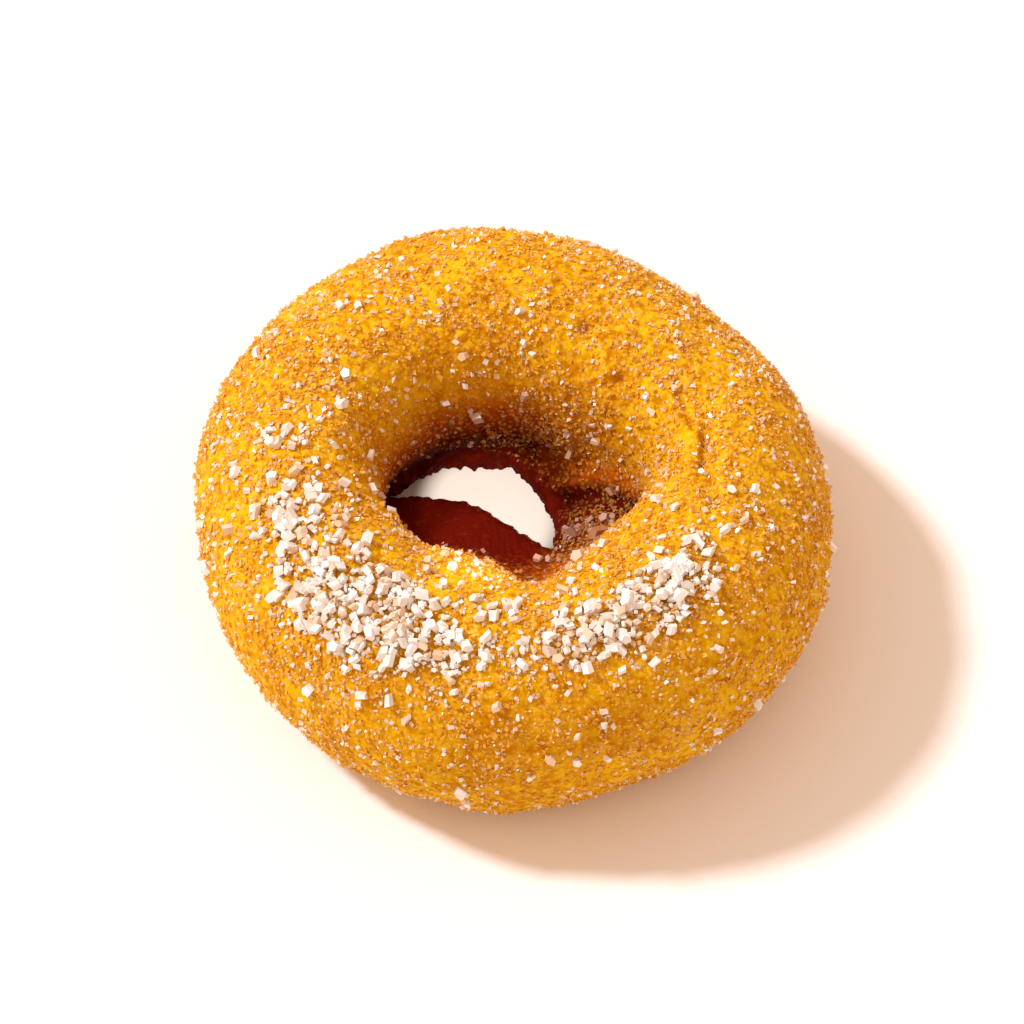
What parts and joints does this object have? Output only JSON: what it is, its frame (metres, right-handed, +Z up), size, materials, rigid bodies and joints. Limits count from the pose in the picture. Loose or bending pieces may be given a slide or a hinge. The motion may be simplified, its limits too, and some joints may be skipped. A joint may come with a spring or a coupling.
{
  "type": "sugar doughnut",
  "caption": "Small ring doughnut lying flat, with a golden fried crust, an uneven bean-shaped hole and granulated sugar on its upper side.",
  "frame": {"origin": "on the surface that the doughnut lies on, under the middle of the ring", "axes": "+Z up through the hole, square to the ring; -Y towards the side that carries the loose sugar"},
  "size_m": [0.0521, 0.0521, 0.0203],
  "materials": {
    "crust": "fried golden-brown crust, slightly greasy, redder inside the hole",
    "sugar": "clear granulated sugar crystals that look white"
  },
  "bodies": {
    "root": {"doughnut": "crust"}
  },
  "joints": []
}
